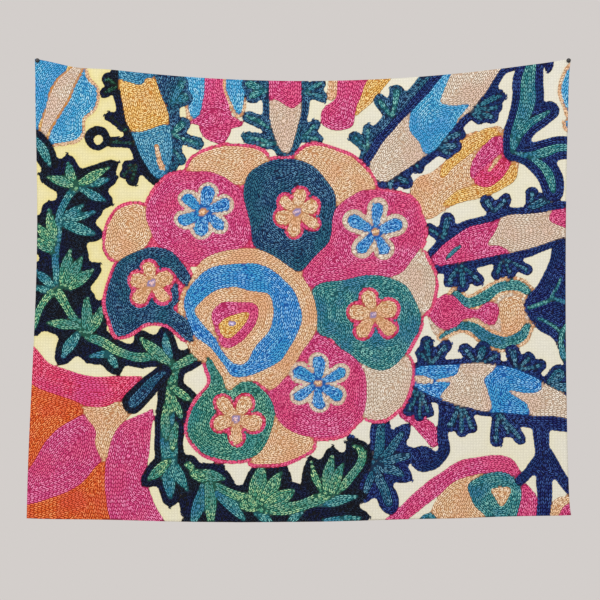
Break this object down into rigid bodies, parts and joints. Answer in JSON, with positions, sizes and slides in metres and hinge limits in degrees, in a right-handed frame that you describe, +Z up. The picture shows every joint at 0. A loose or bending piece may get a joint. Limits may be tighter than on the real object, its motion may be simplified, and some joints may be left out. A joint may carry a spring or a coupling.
{
  "type": "suzani embroidered wall hanging with two wall pins",
  "caption": "Landscape embroidered cotton hanging with a flower medallion, held by a pin through each top corner, its top edge sagging between them.",
  "frame": {"origin": "middle of the cloth's top edge, where it sags lowest between the pins", "axes": "+X along the width, to the viewer's right; +Y away from the viewer, into the wall; +Z up"},
  "size_m": [0.8631, 0.0246, 0.736],
  "materials": {
    "embroidered_cotton": "rows of raised chain stitch in matt thread on an off-white cotton ground",
    "black_enamel": "smooth black enamel, slightly glossy"
  },
  "bodies": {
    "root": {"cloth": "embroidered_cotton", "pin_left": "black_enamel", "pin_right": "black_enamel"}
  },
  "joints": []
}
